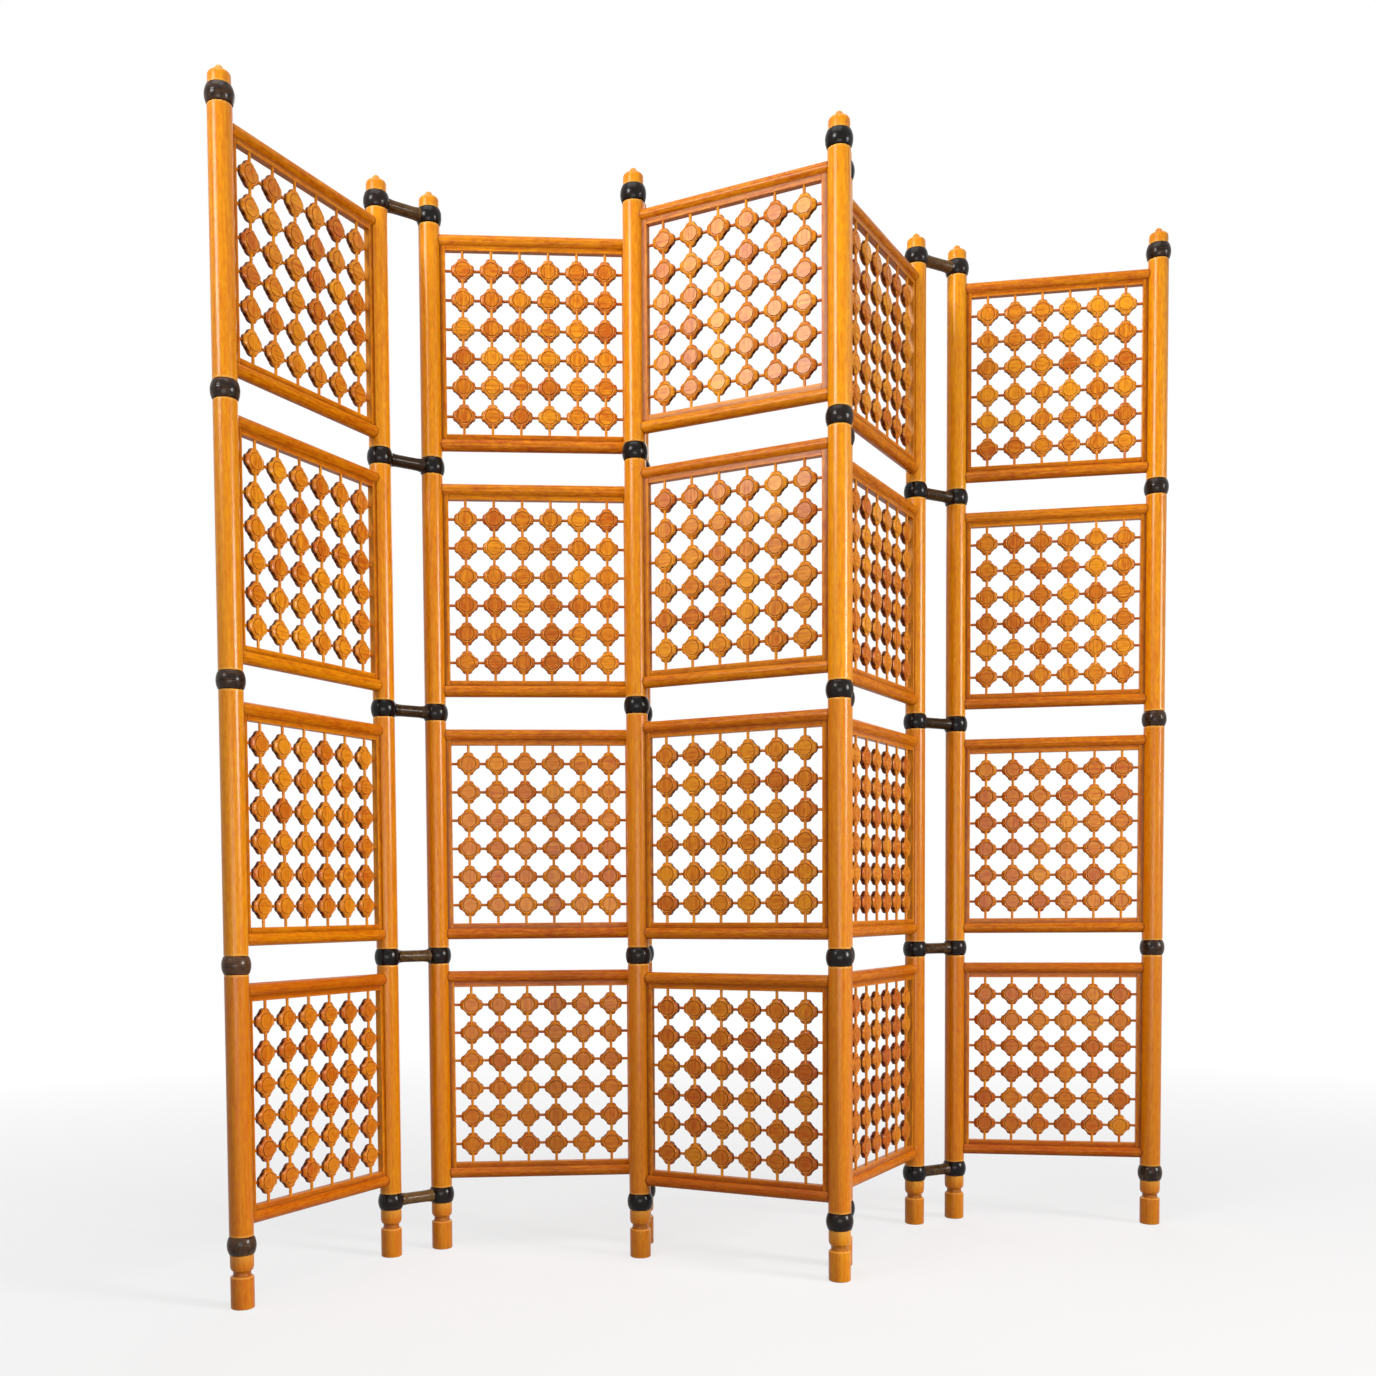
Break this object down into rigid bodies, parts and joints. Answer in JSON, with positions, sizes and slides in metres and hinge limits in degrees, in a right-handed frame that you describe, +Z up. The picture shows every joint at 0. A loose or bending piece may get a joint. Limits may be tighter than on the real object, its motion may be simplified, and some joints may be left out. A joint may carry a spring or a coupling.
{
  "type": "folding lattice screen",
  "caption": "Tall free-standing folding screen: hinged leaves of turned posts and wooden lattice panels, joined by double-collar links.",
  "frame": {"origin": "on the floor, in the middle of the box that the opened screen fills", "axes": "+Z up, +X along the screen from the left end to the right end as seen from the front, -Y towards the front"},
  "size_m": [1.6694, 0.6506, 1.899],
  "materials": {
    "post_wood": "satin clear varnish on honey-coloured turned wood",
    "rail_wood": "satin clear varnish on honey-coloured wood",
    "lattice_wood": "satin clear varnish on tan to red-brown wood, each block its own shade",
    "rod_wood": "satin clear varnish",
    "collar_wood": "gloss, ebonised",
    "bar_wood": "satin, dark stained"
  },
  "bodies": {
    "leaf_3": {"leaf_3_left_post": "post_wood", "leaf_3_right_post": "post_wood", "leaf_3_feet": "post_wood", "leaf_3_finials": "post_wood", "leaf_3_top_rails": "rail_wood", "leaf_3_bottom_rails": "rail_wood", "leaf_3_stiles": "rail_wood", "leaf_3_blocks": "lattice_wood", "leaf_3_upright_rods": "rod_wood", "leaf_3_level_rods": "rod_wood"},
    "link_b": {"link_b_collars": "collar_wood", "link_b_bars": "bar_wood"},
    "leaf_2": {"leaf_2_left_post": "post_wood", "leaf_2_right_post": "post_wood", "leaf_2_feet": "post_wood", "leaf_2_finials": "post_wood", "leaf_2_top_rails": "rail_wood", "leaf_2_bottom_rails": "rail_wood", "leaf_2_stiles": "rail_wood", "leaf_2_blocks": "lattice_wood", "leaf_2_upright_rods": "rod_wood", "leaf_2_level_rods": "rod_wood"},
    "link_a": {"link_a_collars": "collar_wood", "link_a_bars": "bar_wood"},
    "leaf_1": {"leaf_1_left_post": "post_wood", "leaf_1_right_post": "post_wood", "leaf_1_feet": "post_wood", "leaf_1_finials": "post_wood", "leaf_1_top_rails": "rail_wood", "leaf_1_bottom_rails": "rail_wood", "leaf_1_stiles": "rail_wood", "leaf_1_blocks": "lattice_wood", "leaf_1_upright_rods": "rod_wood", "leaf_1_level_rods": "rod_wood", "leaf_1_end_collars": "collar_wood"},
    "link_c": {"link_c_collars": "collar_wood", "link_c_bars": "bar_wood"},
    "leaf_4": {"leaf_4_left_post": "post_wood", "leaf_4_right_post": "post_wood", "leaf_4_feet": "post_wood", "leaf_4_finials": "post_wood", "leaf_4_top_rails": "rail_wood", "leaf_4_bottom_rails": "rail_wood", "leaf_4_stiles": "rail_wood", "leaf_4_blocks": "lattice_wood", "leaf_4_upright_rods": "rod_wood", "leaf_4_level_rods": "rod_wood"},
    "link_d": {"link_d_collars": "collar_wood", "link_d_bars": "bar_wood"},
    "leaf_5": {"leaf_5_left_post": "post_wood", "leaf_5_right_post": "post_wood", "leaf_5_feet": "post_wood", "leaf_5_finials": "post_wood", "leaf_5_top_rails": "rail_wood", "leaf_5_bottom_rails": "rail_wood", "leaf_5_stiles": "rail_wood", "leaf_5_blocks": "lattice_wood", "leaf_5_upright_rods": "rod_wood", "leaf_5_level_rods": "rod_wood", "leaf_5_end_collars": "collar_wood"}
  },
  "joints": [
    {"name": "link_b_turn", "type": "hinge", "parent": "leaf_3", "child": "link_b", "pos_m": [-0.18391, 0.00561, 0], "axis": [0, 0, 1], "range_deg": [-90, 150]},
    {"name": "leaf_2_fold", "type": "hinge", "parent": "link_b", "child": "leaf_2", "pos_m": [-0.1768, 0.10736, 0], "axis": [0, 0, -1], "range_deg": [-58, 174]},
    {"name": "link_a_turn", "type": "hinge", "parent": "leaf_2", "child": "link_a", "pos_m": [-0.54789, 0.08141, 0], "axis": [0, 0, -1], "range_deg": [-98, 186]},
    {"name": "leaf_1_fold", "type": "hinge", "parent": "link_a", "child": "leaf_1", "pos_m": [-0.63145, 0.02291, 0], "axis": [0, 0, 1], "range_deg": [-180, 120]},
    {"name": "link_c_turn", "type": "hinge", "parent": "leaf_3", "child": "link_c", "pos_m": [0.14605, -0.16616, 0], "axis": [0, 0, -1], "range_deg": [-50, 214]},
    {"name": "leaf_4_fold", "type": "hinge", "parent": "link_c", "child": "leaf_4", "pos_m": [0.16464, -0.06587, 0], "axis": [0, 0, 1], "range_deg": [-134, 80]},
    {"name": "link_d_turn", "type": "hinge", "parent": "leaf_4", "child": "link_d", "pos_m": [0.35624, 0.253, 0], "axis": [0, 0, -1], "range_deg": [-184, 102]},
    {"name": "leaf_5_fold", "type": "hinge", "parent": "link_d", "child": "leaf_5", "pos_m": [0.44545, 0.30245, 0], "axis": [0, 0, 1], "range_deg": [-106, 194]}
  ]
}
